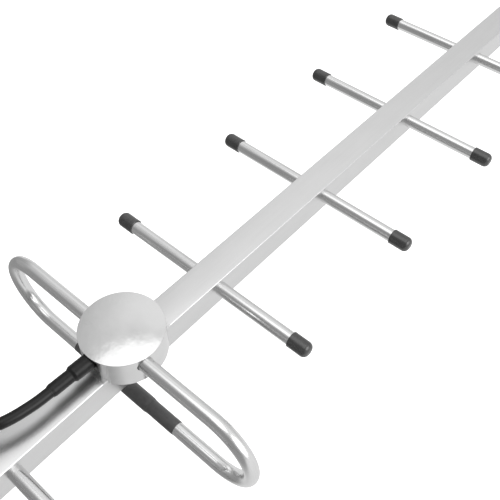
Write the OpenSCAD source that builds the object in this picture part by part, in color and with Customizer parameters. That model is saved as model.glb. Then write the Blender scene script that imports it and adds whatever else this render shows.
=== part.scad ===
// Nine-element yagi antenna: a square boom with a reflector, a folded dipole under a round feed box,
// seven capped directors, a short coaxial tail with a socket, and a tilting clamp for a round mast.
// Millimetres. +Y points forward along the boom, +X to the right and +Z up.
// The origin is on the mast's axis, level with the middle of the boom.

/* [Boom] */
// Width and height of the square boom tube
boom_w = 15.5; // [15:0.5:16]
// Wall of the boom tube
boom_wall = 1.5; // [1.2:0.1:2]
// Radius of the boom's long edges
boom_edge = 0.5; // [0.4:0.1:1.2]
// Boom left over in front of the last director
boom_nose = 22; // [15:1:40]

/* [Elements] */
// Diameter of the directors, the reflector and the dipole
rod_d = 6.8; // [6.2:0.1:6.9]
// Wall of the tube that the directors and the reflector are cut from
rod_wall = 1; // [0.8:0.1:1.5]
// How far the rods' axis lies above the middle of the boom
rod_z = 1.9; // [0:0.1:2.2]
// Number of directors
directors = 7; // [4:1:7]
// From the middle of the feed box to the first director
first_gap = 52.4; // [45:0.1:60]
// From one director to the next
director_gap = 80.8; // [60:0.1:90]
// Length of a director over its caps
director_len = 122.4; // [110:0.1:130]
// From the reflector to the middle of the feed box
reflector_gap = 66.5; // [60:0.5:70]
// Length of the reflector over its caps
reflector_len = 166; // [150:1:175]
// Outer diameter of a tip cap
cap_d = 8; // [7.8:0.1:8.6]
// Length of a tip cap
cap_len = 10.5; // [8:0.5:14]
// Thickness of a tip cap's end
cap_end = 1.2; // [0.8:0.1:2]

/* [Folded dipole] */
// Half the straight length of the dipole's two runs
run_half = 55.6; // [45:0.1:60]
// Distance between the dipole's upper and lower runs
run_gap = 41.5; // [38:0.5:46]
// How far the dipole lies behind the middle of the feed box
dipole_back = 4; // [3:0.1:5]
// Outer diameter of the long sleeve over the joint of the lower run
long_sleeve_d = 7.1; // [7:0.1:7.3]
// Outer diameter of the short sleeve over the long one
short_sleeve_d = 7.8; // [7.5:0.1:8.4]

/* [Feed box] */
// From the mast's axis to the middle of the feed box
feed_y = 195; // [185:1:220]
// Outer diameter of the feed box
cover_d = 37.6; // [36.4:0.1:39.4]
// How far the cover rises over the top of the boom
cover_top = 12.85; // [12.8:0.05:13.8]
// How far the cover's rim reaches down past the top of the boom
cover_skirt = 2.25; // [1:0.05:3]

/* [Coaxial tail] */
// Diameter of the cable
cable_d = 4.95; // [4.5:0.05:5.4]
// Outer diameter of the thick sleeve where the cable leaves the feed box
thick_sleeve_d = 7.2; // [6.8:0.1:7.6]
// Outer diameter of the thin sleeve behind it
thin_sleeve_d = 5.9; // [5.6:0.1:6.4]

/* [Mast clamp] */
// Diameter of the mast that the clamp is set to
mast_d = 42; // [40:0.5:44]
// Diameter of the clamp's bolts
bolt_d = 6; // [5:0.5:6]
// Width of the bolts' heads and nuts across their flats
nut_af = 10; // [9:0.5:10]
// Thickness of the bracket's sheet
sheet = 2.5; // [2:0.1:3]
// How far the boom tilts up and down in its bracket
tilt = 20; // [10:1:22]

/* [Hidden] */
$fn = 48;
SILVER = [0.78, 0.78, 0.79];
SATIN = [0.7, 0.7, 0.71];
STEEL = [0.6, 0.61, 0.63];
BLACK = [0.1, 0.1, 0.11];
CHARCOAL = [0.24, 0.24, 0.25];
BRASS = [0.8, 0.65, 0.3];

// Running gap round a bolt that turns or slides in its hole, and the gap of a clearance hole.
run_fit = 0.05;
free_fit = 0.3;
bolt_r = bolt_d / 2;
rod_r = rod_d / 2;
half = boom_w / 2;

// Mast clamp, from the mast forward: saddle, plate, washer, nut.
mast_r = mast_d / 2;
u_gap = 0.3;
u_r = mast_r + u_gap + bolt_r;
saddle_back = 9;
saddle_front = 24;
saddle_h = 24;
saddle_w = 62;
plate_w = 68;
plate_h = 44;
plate_front = saddle_front + sheet;
washer_t = 1.2;
washer_d = 12;
nut_h = 5;
head_h = 4;
u_leg = 45;

// Cheeks of the bracket, on each side of the boom.
cheek_gap = 0.3;
cheek_in = half + cheek_gap;
cheek_out = cheek_in + sheet;
cheek_r = 18;
cheek_tip = 57;
pivot_y = 42;
lock_r = 24;
lock_y = pivot_y + lock_r;
slide_gap = 0.15;

// Boom, from the rear plug to the front plug.
boom_rear = 32;
plug_flange = 2;
boom_front = feed_y + first_gap + (directors - 1) * director_gap + boom_nose;
boom_len = boom_front - boom_rear;
rod_y = [for (i = [0 : directors - 1]) feed_y + first_gap + i * director_gap];
reflector_y = feed_y - reflector_gap;

// Feed box.
cover_r = cover_d / 2;
cover_wall = 1.2;
cover_lid = 0.8;
cover_edge = 0.2;
cover_z = half + cover_top;
lid_z = cover_z - cover_lid;
rim_z = half - cover_skirt;
foot_t = 0.5;
foot_len = 39.4;
base_z = half + foot_t;
deck_z = base_z + 4.35;
post_y = 9;
post_r = 4.2;
dipole_hole_r = rod_r + 0.2;
groove_len = 7;
cable_notch_left = -6;
cable_notch_right = 4.8;
feed_screw_r = 2;
insert_r = 3;
screw_head_r = 3.6;
screw_head_h = 2.4;

// Dipole. The upper run's ends are flattened into tongues that lie on the insulator.
dipole_y = feed_y - dipole_back;
upper_z = half + 8.45;
lower_z = upper_z - run_gap;
bend_r = run_gap / 2;
tongue_in = 2.5;
tongue_out = 9.5;
round_from = 12.5;
tongue_t = 2.4;
tongue_w = 7.6;
terminal_x = 6;
terminal_r = 1.5;
lug_t = 0.5;
lug_z = deck_z + tongue_t;
joint_pin_r = 1.5;
joint_pin_len = 24;
long_sleeve = [-35, 32];
short_sleeve = [-15, 15];

// Route of the cable from the insulator to the socket: straight and slightly rising out of the
// notch, in an arch over the boom, then aside and down in one curve, and straight down.
cable_line = [
    [-0.75, 181, 15.5], [-0.81, 175.4, 15.77], [-0.9, 166.4, 16.21], [-1, 156.4, 16.7],
    [-1.15, 150.9, 17], [-1.75, 145.4, 17.3], [-2.75, 140, 17.5], [-4.5, 134.6, 17.6],
    [-7.1, 129.2, 17.4], [-10.3, 123.8, 16.8], [-13.9, 118.4, 15.6], [-17.4, 113.2, 13.6],
    [-20.7, 108.2, 10.8], [-23.7, 103.6, 7], [-26.3, 99.4, 2.2], [-28.3, 95.7, -3.5],
    [-29.5, 92.6, -10.2], [-30.2, 90.1, -17.5], [-30.5, 88.2, -25], [-30.6, 86.8, -33],
    [-30.6, 85.9, -42], [-30.6, 85.4, -52], [-30.6, 85.1, -63], [-30.6, 85, -75],
    [-30.6, 85, -88], [-30.6, 85, -102], [-30.6, 85, -116], [-30.6, 85, -130],
    [-30.6, 85, -145], [-30.6, 85, -160]
];
cable_end = cable_line[len(cable_line) - 1];
cable_r = cable_d / 2;
cable_sides = 12;
sleeve_from = cable_line[0];
sleeve_to = cable_line[3];
thick_sleeve = [2.5, 14.2];
thin_sleeve = [14.2, 24.2];

// Socket on the cable's end, from its crimp down to its mouth.
crimp_h = 13;
crimp_r = 3.6;
neck_h = 4;
neck_r = 5.2;
hex_af = 16;
hex_h = 6.5;
thread_r = 7.94;
thread_h = 11;
mouth_r = 4.3;
mouth_h = 9.5;
contact_r = 1.5;
contact_h = 5.5;
body_top = cable_end[2] - crimp_h;
hex_top = body_top - neck_h;
thread_top = hex_top - hex_h;
mouth_z = thread_top - thread_h;
mouth_floor = mouth_z + mouth_h;

// ---- Shapes that repeat ----

// Square with rounded corners, for tubes that are extruded along Z.
module rounded_square(w, r) {
    square([w - 2 * r, w], center = true);
    square([w, w - 2 * r], center = true);
    for (x = [-1, 1], y = [-1, 1])
        translate([x * (w / 2 - r), y * (w / 2 - r)]) circle(r = r);
}

// Moves a shape that is drawn along Z so that it runs forward along +Y from y.
module along_y(y) {
    translate([0, y, 0]) rotate([-90, 0, 0]) children();
}

// Moves a shape that is drawn along Z so that it runs along +X from x at a place beside the boom.
module along_x(x, y, z) {
    translate([x, y, z]) rotate([0, 90, 0]) children();
}

// Round bar or bore across the boom, centred on it.
module cross_bar(y, z, r, length) {
    along_x(0, y, z) cylinder(r = r, h = length, center = true);
}

module ring(r_out, r_in, h) {
    difference() {
        cylinder(r = r_out, h = h);
        translate([0, 0, -1]) cylinder(r = r_in, h = h + 2);
    }
}

module hexagon_bar(af, h) {
    cylinder(r = af / 2 / cos(30), h = h, $fn = 6);
}

// Hexagon nut round a hole, with its corners turned off to a slight cone.
module hexagon_nut(r_in, h) {
    difference() {
        intersection() {
            hexagon_bar(nut_af, h);
            rotate_extrude() polygon([
                [0, 0], [nut_af / 2, 0], [nut_af / 2 + 1, 0.6], [nut_af / 2 + 1, h - 0.6],
                [nut_af / 2, h], [0, h]
            ]);
        }
        translate([0, 0, -1]) cylinder(r = r_in, h = h + 2);
    }
}

// Hexagon bolt from z = 0 down its shank, with its head below z = 0.
module hexagon_bolt(shank) {
    cylinder(r = bolt_r, h = shank - 0.8);
    translate([0, 0, shank - 0.8]) cylinder(r1 = bolt_r, r2 = bolt_r - 0.8, h = 0.8);
    translate([0, 0, -head_h]) hexagon_bar(nut_af, head_h);
}

function unit(v) = v / norm(v);
function way(line, i) = unit(line[min(i + 1, len(line) - 1)] - line[max(i - 1, 0)]);
// One ring of points round a line that never runs along X.
function ring_points(line, i, r, sides) =
    let (t = way(line, i), u = unit(cross(t, [1, 0, 0])), v = cross(t, u))
    [for (k = [0 : sides - 1]) line[i] + r * (cos(360 * k / sides) * u + sin(360 * k / sides) * v)];

// Closed tube of constant thickness along a line of points.
module swept_tube(line, r, sides) {
    last = len(line) - 1;
    points = [for (i = [0 : last]) each ring_points(line, i, r, sides)];
    walls = [
        for (i = [0 : last - 1], k = [0 : sides - 1])
            let (a = i * sides + k, b = i * sides + (k + 1) % sides)
            each [[a, b, b + sides], [a, b + sides, a + sides]]
    ];
    near = [for (k = [sides - 1 : -1 : 0]) k];
    far = [for (k = [0 : sides - 1]) last * sides + k];
    polyhedron(points, concat(walls, [near, far]));
}

// ---- Boom ----

module boom() {
    color(SILVER) difference() {
        along_y(boom_rear) linear_extrude(boom_len) difference() {
            rounded_square(boom_w, boom_edge);
            square(boom_w - 2 * boom_wall, center = true);
        }
        for (y = rod_y) cross_bar(y, rod_z, rod_r, boom_w + 2);
        cross_bar(reflector_y, rod_z, rod_r, boom_w + 2);
        cross_bar(pivot_y, 0, bolt_r + run_fit, boom_w + 2);
        cross_bar(lock_y, 0, bolt_r, boom_w + 2);
        translate([0, feed_y + post_y, 0]) cylinder(r = feed_screw_r, h = boom_w + 2, center = true);
    }
}

// Square plug: a flange on the boom's end and a hollow spigot inside it.
module plug(spigot) {
    linear_extrude(plug_flange) rounded_square(boom_w, boom_edge);
    translate([0, 0, plug_flange]) linear_extrude(spigot) difference() {
        square(boom_w - 2 * boom_wall - 0.1, center = true);
        square(boom_w - 4 * boom_wall, center = true);
    }
}

module boom_plug_front() {
    color(BLACK) translate([0, boom_front + plug_flange, 0]) rotate([90, 0, 0]) plug(10);
}

module boom_plug_rear() {
    color(BLACK) along_y(boom_rear - plug_flange) plug(5);
}

// ---- Directors and reflector ----

// Tube across the boom. Its caps add their ends to its length.
module rod(y, length) {
    color(SILVER) difference() {
        cross_bar(y, rod_z, rod_r, length - 2 * cap_end);
        cross_bar(y, rod_z, rod_r - rod_wall, length);
    }
}

// Soft cap with a domed end, drawn along Z with its mouth at z = 0.
module tip_cap() {
    dome = 2.2;
    rotate_extrude() difference() {
        union() {
            square([cap_d / 2, cap_len - dome]);
            square([cap_d / 2 - dome, cap_len]);
            translate([cap_d / 2 - dome, cap_len - dome]) intersection() {
                circle(r = dome);
                square(dome);
            }
        }
        translate([-1, -1]) square([rod_r + 1, cap_len - cap_end + 1]);
    }
}

module cap_pair(y, length) {
    color(BLACK) for (side = [-1, 1])
        translate([side * (length / 2 - cap_len), y, rod_z]) rotate([0, side * 90, 0]) tip_cap();
}

module reflector_rod() { rod(reflector_y, reflector_len); }
module reflector_caps() { cap_pair(reflector_y, reflector_len); }
module director_rod(i) { rod(rod_y[i - 1], director_len); }
module director_caps(i) { cap_pair(rod_y[i - 1], director_len); }

// ---- Folded dipole ----

// Right half of the loop, from its tongue in the feed box to its joint under the boom.
module dipole_half() {
    difference() {
        union() {
            along_x(round_from, 0, upper_z) cylinder(r = rod_r, h = run_half - round_from);
            along_x(0, 0, lower_z) cylinder(r = rod_r, h = run_half);
            translate([run_half, 0, upper_z - bend_r]) rotate([90, 0, 0]) rotate([0, 0, -90])
                rotate_extrude(angle = 180) translate([bend_r, 0]) circle(r = rod_r);
            hull() {
                along_x(round_from, 0, upper_z) cylinder(r = rod_r, h = 0.1, $fn = 32);
                translate([tongue_out, -tongue_w / 2, deck_z]) cube([0.1, tongue_w, tongue_t]);
            }
            translate([tongue_in, -tongue_w / 2, deck_z])
                cube([tongue_out - tongue_in, tongue_w, tongue_t]);
        }
        translate([terminal_x, 0, 0]) cylinder(r = terminal_r, h = cover_z);
        along_x(-1, 0, lower_z) cylinder(r = joint_pin_r, h = joint_pin_len / 2 + 1);
    }
}

module dipole_half_right() {
    color(SILVER) translate([0, dipole_y, 0]) dipole_half();
}

module dipole_half_left() {
    color(SILVER) translate([0, dipole_y, 0]) mirror([1, 0, 0]) dipole_half();
}

// Stud inside the two ends of the lower run.
module dipole_joint_pin() {
    color(STEEL) cross_bar(dipole_y, lower_z, joint_pin_r, joint_pin_len);
}

module sleeve_on_run(span, r_out, r_in) {
    color(CHARCOAL) along_x(span[0], dipole_y, lower_z) ring(r_out, r_in, span[1] - span[0]);
}

module joint_sleeve_long() { sleeve_on_run(long_sleeve, long_sleeve_d / 2, rod_r); }
module joint_sleeve_short() { sleeve_on_run(short_sleeve, short_sleeve_d / 2, long_sleeve_d / 2); }

// ---- Feed box ----

// Thin plate between the insulator and the boom.
module feed_foot_plate() {
    color(SATIN) difference() {
        translate([-half, feed_y - foot_len / 2, half]) cube([boom_w, foot_len, foot_t]);
        translate([0, feed_y + post_y, 0]) cylinder(r = feed_screw_r, h = cover_z);
    }
}

// Moulded disc that carries the dipole's tongues, with a post for the screw up to the lid and a
// groove that the cable lies in.
module feed_insulator() {
    color(CHARCOAL) difference() {
        union() {
            translate([0, feed_y, base_z]) cylinder(r = cover_r - cover_wall, h = deck_z - base_z);
            translate([0, feed_y + post_y, base_z]) cylinder(r = post_r, h = lid_z - base_z);
        }
        translate([0, feed_y + post_y, 0]) cylinder(r = feed_screw_r, h = cover_z);
        translate([0, feed_y + post_y, base_z + 2]) cylinder(r = insert_r, h = cover_z);
        for (side = [-1, 1])
            translate([side * terminal_x, dipole_y, base_z + 1]) cylinder(r = terminal_r, h = cover_z);
        translate([sleeve_from[0], feed_y - cover_r, sleeve_from[2]]) rotate([-90, 0, 0])
            cylinder(r = thick_sleeve_d / 2 + 0.2, h = groove_len);
    }
}

// Threaded insert that the feed box's screw pulls on.
module feed_insert() {
    color(BRASS) translate([0, feed_y + post_y, base_z + 2]) ring(insert_r, feed_screw_r, 8);
}

// Screw from under the boom into the insert.
module feed_screw() {
    color(STEEL) translate([0, feed_y + post_y, 0]) difference() {
        union() {
            translate([0, 0, -half]) cylinder(r = feed_screw_r, h = boom_w + 8);
            translate([0, 0, -half - screw_head_h]) cylinder(r = screw_head_r, h = screw_head_h);
        }
        translate([-screw_head_r, -0.5, -half - screw_head_h - 1])
            cube([2 * screw_head_r, 1, 2.1]);
    }
}

// Turned cup over the dipole's ends. Its skirt straddles the boom, its two round holes let the
// dipole in and the notch behind lets the cable out.
module feed_cover() {
    color(SILVER) translate([0, feed_y, 0]) difference() {
        rotate_extrude() difference() {
            polygon([
                [0, rim_z], [cover_r, rim_z], [cover_r, cover_z - cover_edge],
                [cover_r - cover_edge, cover_z], [0, cover_z]
            ]);
            translate([0, rim_z - 1]) square([cover_r - cover_wall, lid_z - rim_z + 1]);
        }
        translate([-half - 0.1, -cover_d, rim_z - 1])
            cube([boom_w + 0.2, 2 * cover_d, base_z + 0.1 - rim_z + 1]);
        along_x(-cover_d, -dipole_back - 0.1, upper_z - 0.1)
            cylinder(r = dipole_hole_r, h = 2 * cover_d);
        translate([cable_notch_left, -cover_d, rim_z - 1])
            cube([cable_notch_right - cable_notch_left, cover_d, lid_z - rim_z + 1]);
    }
}

// Two ring lugs on the dipole's tongues, with tails towards the cable.
module terminal_lugs() {
    color(BRASS) for (side = [-1, 1]) translate([side * terminal_x, dipole_y, lug_z]) difference() {
        union() {
            cylinder(r = 3, h = lug_t);
            translate([-1.2, -6.5, 0]) cube([2.4, 6.5, lug_t]);
        }
        translate([0, 0, -1]) cylinder(r = terminal_r, h = lug_t + 2);
    }
}

module terminal_screws() {
    color(STEEL) for (side = [-1, 1]) translate([side * terminal_x, dipole_y, 0]) difference() {
        union() {
            translate([0, 0, base_z + 1]) cylinder(r = terminal_r, h = lug_z - base_z);
            translate([0, 0, lug_z + lug_t]) cylinder(r = 2.75, h = 1.8);
        }
        translate([-3, -0.4, lug_z + lug_t + 1]) cube([6, 0.8, 1]);
    }
}

// Inner conductor and twisted braid, from the end of the jacket to the two lugs.
module coax_conductor() {
    color(BRASS) swept_tube([
        [-0.8, 180.5, 15.5], [0.5, 183, 15.5], [3, 184.2, 15.6], [5, 184.9, 15.9],
        [6, 186.4, 15.9]
    ], 0.45, 8);
}

module coax_braid() {
    color(SATIN) swept_tube([
        [-1.4, 180.5, 15.5], [-2.4, 183, 15.6], [-4, 183.9, 15.9], [-5.4, 184.9, 16.15],
        [-6, 186.4, 16.15]
    ], 0.7, 8);
}

// ---- Coaxial tail ----

// Sleeve on the cable's first, straight stretch.
module sleeve_on_cable(span, r_out) {
    d = unit(sleeve_to - sleeve_from);
    color(BLACK) translate(sleeve_from) rotate([90 - asin(d[2]), 0, atan2(d[0], -d[1])])
        translate([0, 0, span[0]]) ring(r_out, cable_r, span[1] - span[0]);
}

module cable_sleeve_thick() { sleeve_on_cable(thick_sleeve, thick_sleeve_d / 2); }
module cable_sleeve_thin() { sleeve_on_cable(thin_sleeve, thin_sleeve_d / 2); }

module feed_cable() {
    color(BLACK) swept_tube(cable_line, cable_r, cable_sides);
}

// Moves a shape to the socket's axis.
module on_socket(z) {
    translate([cable_end[0], cable_end[1], z]) children();
}

// Crimped ferrule round the cable's last stretch.
module socket_crimp() {
    color(BLACK) on_socket(body_top) ring(crimp_r, cable_r, crimp_h + 12);
}

// Body with a neck, a hexagon and an outer thread round the mouth.
module socket_body() {
    color(SATIN) difference() {
        union() {
            on_socket(hex_top) cylinder(r = neck_r, h = neck_h);
            on_socket(thread_top) hexagon_bar(hex_af, hex_h);
            on_socket(mouth_z) cylinder(r = thread_r, h = thread_h);
        }
        on_socket(mouth_z - 1) cylinder(r = mouth_r, h = mouth_h + 1);
        on_socket(mouth_floor - 1) cylinder(r = mouth_r - 0.8, h = body_top - mouth_floor - 1);
    }
}

module socket_insulator() {
    color("white") on_socket(mouth_floor) ring(mouth_r - 0.8, contact_r, body_top - mouth_floor - 2);
}

// Centre contact with four slots in its open end.
module socket_contact() {
    color(BRASS) on_socket(mouth_floor - contact_h) difference() {
        cylinder(r = contact_r, h = contact_h + body_top - mouth_floor - 2);
        translate([0, 0, -1]) cylinder(r = 0.85, h = contact_h + 1);
        for (turn = [0, 90]) rotate([0, 0, turn])
            translate([-contact_r - 1, -0.15, -1]) cube([2 * contact_r + 2, 0.3, contact_h]);
    }
}

// ---- Mast clamp ----

// Part of a circle's band, cut right through a cheek, for the lock bolt.
module lock_slot() {
    r = bolt_r + free_fit;
    translate([0, pivot_y, 0]) rotate([0, 90, 0]) {
        rotate([0, 0, 90 - tilt]) rotate_extrude(angle = 2 * tilt)
            translate([lock_r - r, -cheek_out - 1]) square([2 * r, 2 * cheek_out + 2]);
        for (turn = [-tilt, tilt]) rotate([0, 0, 90 + turn]) translate([lock_r, 0, 0])
            cylinder(r = r, h = 2 * cheek_out + 2, center = true);
    }
}

// Folded sheet: a plate across the mast with two cheeks beside the boom.
module mast_bracket() {
    color(STEEL) difference() {
        union() {
            translate([-plate_w / 2, saddle_front, -plate_h / 2]) cube([plate_w, sheet, plate_h]);
            for (side = [-1, 1]) translate([side * (cheek_in + sheet / 2), 0, 0]) {
                translate([-sheet / 2, saddle_front + 0.5, -cheek_r])
                    cube([sheet, cheek_tip - saddle_front - 0.5, 2 * cheek_r]);
                along_x(-sheet / 2, cheek_tip, 0) cylinder(r = cheek_r, h = sheet);
            }
        }
        for (side = [-1, 1]) translate([side * u_r, saddle_front - 1, 0]) rotate([-90, 0, 0])
            cylinder(r = bolt_r + free_fit, h = sheet + 2);
        cross_bar(pivot_y, 0, bolt_r, 2 * cheek_out + 2);
        lock_slot();
    }
}

// Block between the bracket and the mast, with a round seat.
module mast_saddle() {
    color(SATIN) difference() {
        translate([0, 0, -saddle_h / 2]) linear_extrude(saddle_h) difference() {
            polygon([
                [-saddle_w / 2, saddle_front], [-saddle_w / 2, saddle_back + 5],
                [-saddle_w / 2 + 5, saddle_back], [saddle_w / 2 - 5, saddle_back],
                [saddle_w / 2, saddle_back + 5], [saddle_w / 2, saddle_front]
            ]);
            circle(r = mast_r, $fn = 96);
        }
        for (side = [-1, 1]) translate([side * u_r, 0, 0]) rotate([-90, 0, 0])
            cylinder(r = bolt_r + free_fit, h = saddle_front + 1);
    }
}

module u_bolt() {
    color(STEEL) {
        rotate([0, 0, 180]) rotate_extrude(angle = 180) translate([u_r, 0]) circle(r = bolt_r);
        for (side = [-1, 1]) translate([side * u_r, 0, 0]) rotate([-90, 0, 0]) {
            cylinder(r = bolt_r, h = u_leg - 0.8);
            translate([0, 0, u_leg - 0.8]) cylinder(r1 = bolt_r, r2 = bolt_r - 0.8, h = 0.8);
        }
    }
}

// Moves a shape that is drawn along Z onto a leg of the U-bolt, running forward.
module on_leg(side, y) {
    translate([side * u_r, y, 0]) rotate([-90, 0, 0]) children();
}

module u_bolt_washers() {
    color(STEEL) for (side = [-1, 1])
        on_leg(side, plate_front) ring(washer_d / 2, bolt_r + free_fit, washer_t);
}

module u_bolt_nut(side) {
    color(STEEL) on_leg(side, plate_front + washer_t) hexagon_nut(bolt_r + run_fit, nut_h);
}

module u_bolt_nut_right() { u_bolt_nut(1); }
module u_bolt_nut_left() { u_bolt_nut(-1); }

module pivot_bolt() {
    head_x = -cheek_out - washer_t;
    color(STEEL) along_x(head_x, pivot_y, 0) hexagon_bolt(2 * (cheek_out + washer_t) + 8);
}

// Pair of washers outside the cheeks, round a bolt at y.
module washer_pair(y, gap) {
    color(STEEL) for (x = [-cheek_out - gap - washer_t, cheek_out + gap])
        along_x(x, y, 0) ring(washer_d / 2, bolt_r, washer_t);
}

module pivot_washers() { washer_pair(pivot_y, 0); }

module pivot_nut() {
    color(STEEL) along_x(cheek_out + washer_t, pivot_y, 0) hexagon_nut(bolt_r, nut_h + 1);
}

module lock_bolt() {
    reach = cheek_out + slide_gap + washer_t;
    color(STEEL) along_x(-reach, lock_y, 0) hexagon_bolt(2 * reach + 10);
}

module lock_washers() { washer_pair(lock_y, slide_gap); }

// Nut with two wings, turned by hand.
module lock_wing_nut() {
    color(STEEL) along_x(cheek_out + slide_gap + washer_t, lock_y, 0) difference() {
        union() {
            cylinder(r1 = 5.2, r2 = 4.4, h = 7);
            for (side = [-1, 1]) hull() {
                translate([side * 4, 0, 2.4]) rotate([90, 0, 0])
                    cylinder(r = 1.6, h = 2, center = true, $fn = 32);
                translate([side * 4, 0, 5.4]) rotate([90, 0, 0])
                    cylinder(r = 1.4, h = 2, center = true, $fn = 32);
                translate([side * 8.6, 0, 7.6]) rotate([90, 0, 0])
                    cylinder(r = 2.3, h = 1.6, center = true, $fn = 32);
            }
        }
        translate([0, 0, -1]) cylinder(r = bolt_r + run_fit, h = 12);
    }
}

boom();
boom_plug_front();
boom_plug_rear();
reflector_rod();
reflector_caps();
director_rod(1);  // director_1_rod
director_rod(2);  // director_2_rod
director_rod(3);  // director_3_rod
director_rod(4);  // director_4_rod
director_rod(5);  // director_5_rod
director_rod(6);  // director_6_rod
director_rod(7);  // director_7_rod
director_caps(1);  // director_1_caps
director_caps(2);  // director_2_caps
director_caps(3);  // director_3_caps
director_caps(4);  // director_4_caps
director_caps(5);  // director_5_caps
director_caps(6);  // director_6_caps
director_caps(7);  // director_7_caps
dipole_half_right();
dipole_half_left();
dipole_joint_pin();
joint_sleeve_long();
joint_sleeve_short();
feed_foot_plate();
feed_insulator();
feed_insert();
feed_screw();
feed_cover();
terminal_lugs();
terminal_screws();
coax_conductor();
coax_braid();
cable_sleeve_thick();
cable_sleeve_thin();
feed_cable();
socket_crimp();
socket_body();
socket_insulator();
socket_contact();
mast_bracket();
mast_saddle();
u_bolt();
u_bolt_washers();
u_bolt_nut_right();
u_bolt_nut_left();
pivot_bolt();
pivot_washers();
pivot_nut();
lock_bolt();
lock_washers();
lock_wing_nut();
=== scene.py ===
from math import acos, cos, pi, radians, sin

import bmesh
import bpy
import numpy as np
from mathutils import Matrix, Vector, noise


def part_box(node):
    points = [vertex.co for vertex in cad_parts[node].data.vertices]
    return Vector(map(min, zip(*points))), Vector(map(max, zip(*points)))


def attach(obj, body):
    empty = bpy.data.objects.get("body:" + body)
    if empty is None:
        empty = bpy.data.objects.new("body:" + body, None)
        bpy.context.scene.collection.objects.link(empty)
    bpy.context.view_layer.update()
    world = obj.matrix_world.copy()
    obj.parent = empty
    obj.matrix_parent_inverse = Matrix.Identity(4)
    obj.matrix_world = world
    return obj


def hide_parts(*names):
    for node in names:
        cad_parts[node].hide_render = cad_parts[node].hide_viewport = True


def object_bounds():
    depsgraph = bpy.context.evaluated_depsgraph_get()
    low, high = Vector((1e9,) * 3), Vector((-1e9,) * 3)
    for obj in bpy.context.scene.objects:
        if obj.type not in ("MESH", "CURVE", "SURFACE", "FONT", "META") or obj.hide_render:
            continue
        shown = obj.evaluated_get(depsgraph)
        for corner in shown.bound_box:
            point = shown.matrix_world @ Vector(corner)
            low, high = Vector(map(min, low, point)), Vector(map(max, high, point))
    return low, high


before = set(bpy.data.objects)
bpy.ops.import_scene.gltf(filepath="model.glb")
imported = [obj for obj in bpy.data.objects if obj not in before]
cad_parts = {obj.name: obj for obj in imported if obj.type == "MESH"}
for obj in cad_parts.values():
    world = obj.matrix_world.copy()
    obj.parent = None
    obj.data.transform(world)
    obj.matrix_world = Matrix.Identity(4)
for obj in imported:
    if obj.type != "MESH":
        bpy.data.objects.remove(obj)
cad_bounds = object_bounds()
MM = 0.001


# ---- Places, read from the CAD nodes ----

def low(node):
    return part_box(node)[0]


def high(node):
    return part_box(node)[1]


def middle(node):
    return (low(node) + high(node)) / 2


def size(node):
    return high(node) - low(node)


# ---- Camera ----

# The point looked at, the distance to it, the viewer's direction from it, and the lens in mm.
CAMERA_TARGET = Vector((5.8, 270.8, 7.5)) * MM
CAMERA_DISTANCE = 339.5 * MM
CAMERA_AZIMUTH, CAMERA_ELEVATION = radians(41.1), radians(50.42)
CAMERA_LENS, SENSOR_WIDTH = 50.42, 36


def back_vector(azimuth, elevation):
    """From what is looked at towards the viewer."""
    flat = cos(elevation)
    return Vector((sin(azimuth) * flat, -cos(azimuth) * flat, sin(elevation)))


def make_camera():
    data = bpy.data.cameras.new("camera")
    data.lens = CAMERA_LENS
    data.sensor_width = SENSOR_WIDTH
    data.clip_start, data.clip_end = 0.01, 20
    camera = bpy.data.objects.new("camera", data)
    bpy.context.scene.collection.objects.link(camera)
    back = back_vector(CAMERA_AZIMUTH, CAMERA_ELEVATION)
    camera.location = CAMERA_TARGET + back * CAMERA_DISTANCE
    camera.rotation_mode = "QUATERNION"
    camera.rotation_quaternion = (-back).to_track_quat("-Z", "Y")
    bpy.context.scene.camera = camera


make_camera()


# ---- Materials ----

def connect(tree, node, key, value):
    """Links a socket to another node's output, or sets its constant."""
    if isinstance(value, bpy.types.NodeSocket):
        tree.links.new(value, node.inputs[key])
    else:
        node.inputs[key].default_value = value


def add_node(tree, kind, inputs=None, **settings):
    """Adds a shader node. Each input is a constant or another node's output."""
    made = tree.nodes.new("ShaderNode" + kind)
    for key, value in settings.items():
        setattr(made, key, value)
    for key, value in (inputs or {}).items():
        connect(tree, made, key, value)
    return made


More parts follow.
